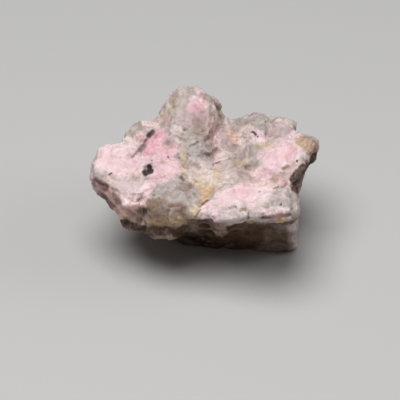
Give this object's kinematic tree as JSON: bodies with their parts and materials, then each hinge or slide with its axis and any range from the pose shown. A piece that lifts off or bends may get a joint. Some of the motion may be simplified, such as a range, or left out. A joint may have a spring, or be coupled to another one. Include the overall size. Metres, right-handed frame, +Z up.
{
  "type": "mineral specimen",
  "caption": "Hand-sized piece of tugtupite vein stone with a blunt back peak, a side arm, a tip and a rough rim over a narrower foot.",
  "frame": {"origin": "under the middle of the stone's box, on the surface it rests on", "axes": "+X to the right along the longest extent, -Y towards the side that the rim juts out on, +Z up"},
  "size_m": [0.05, 0.0414, 0.0335],
  "materials": {
    "stone": "rough sugary break, mottled pink, grey and white"
  },
  "bodies": {
    "root": {"stone": "stone"}
  },
  "joints": []
}
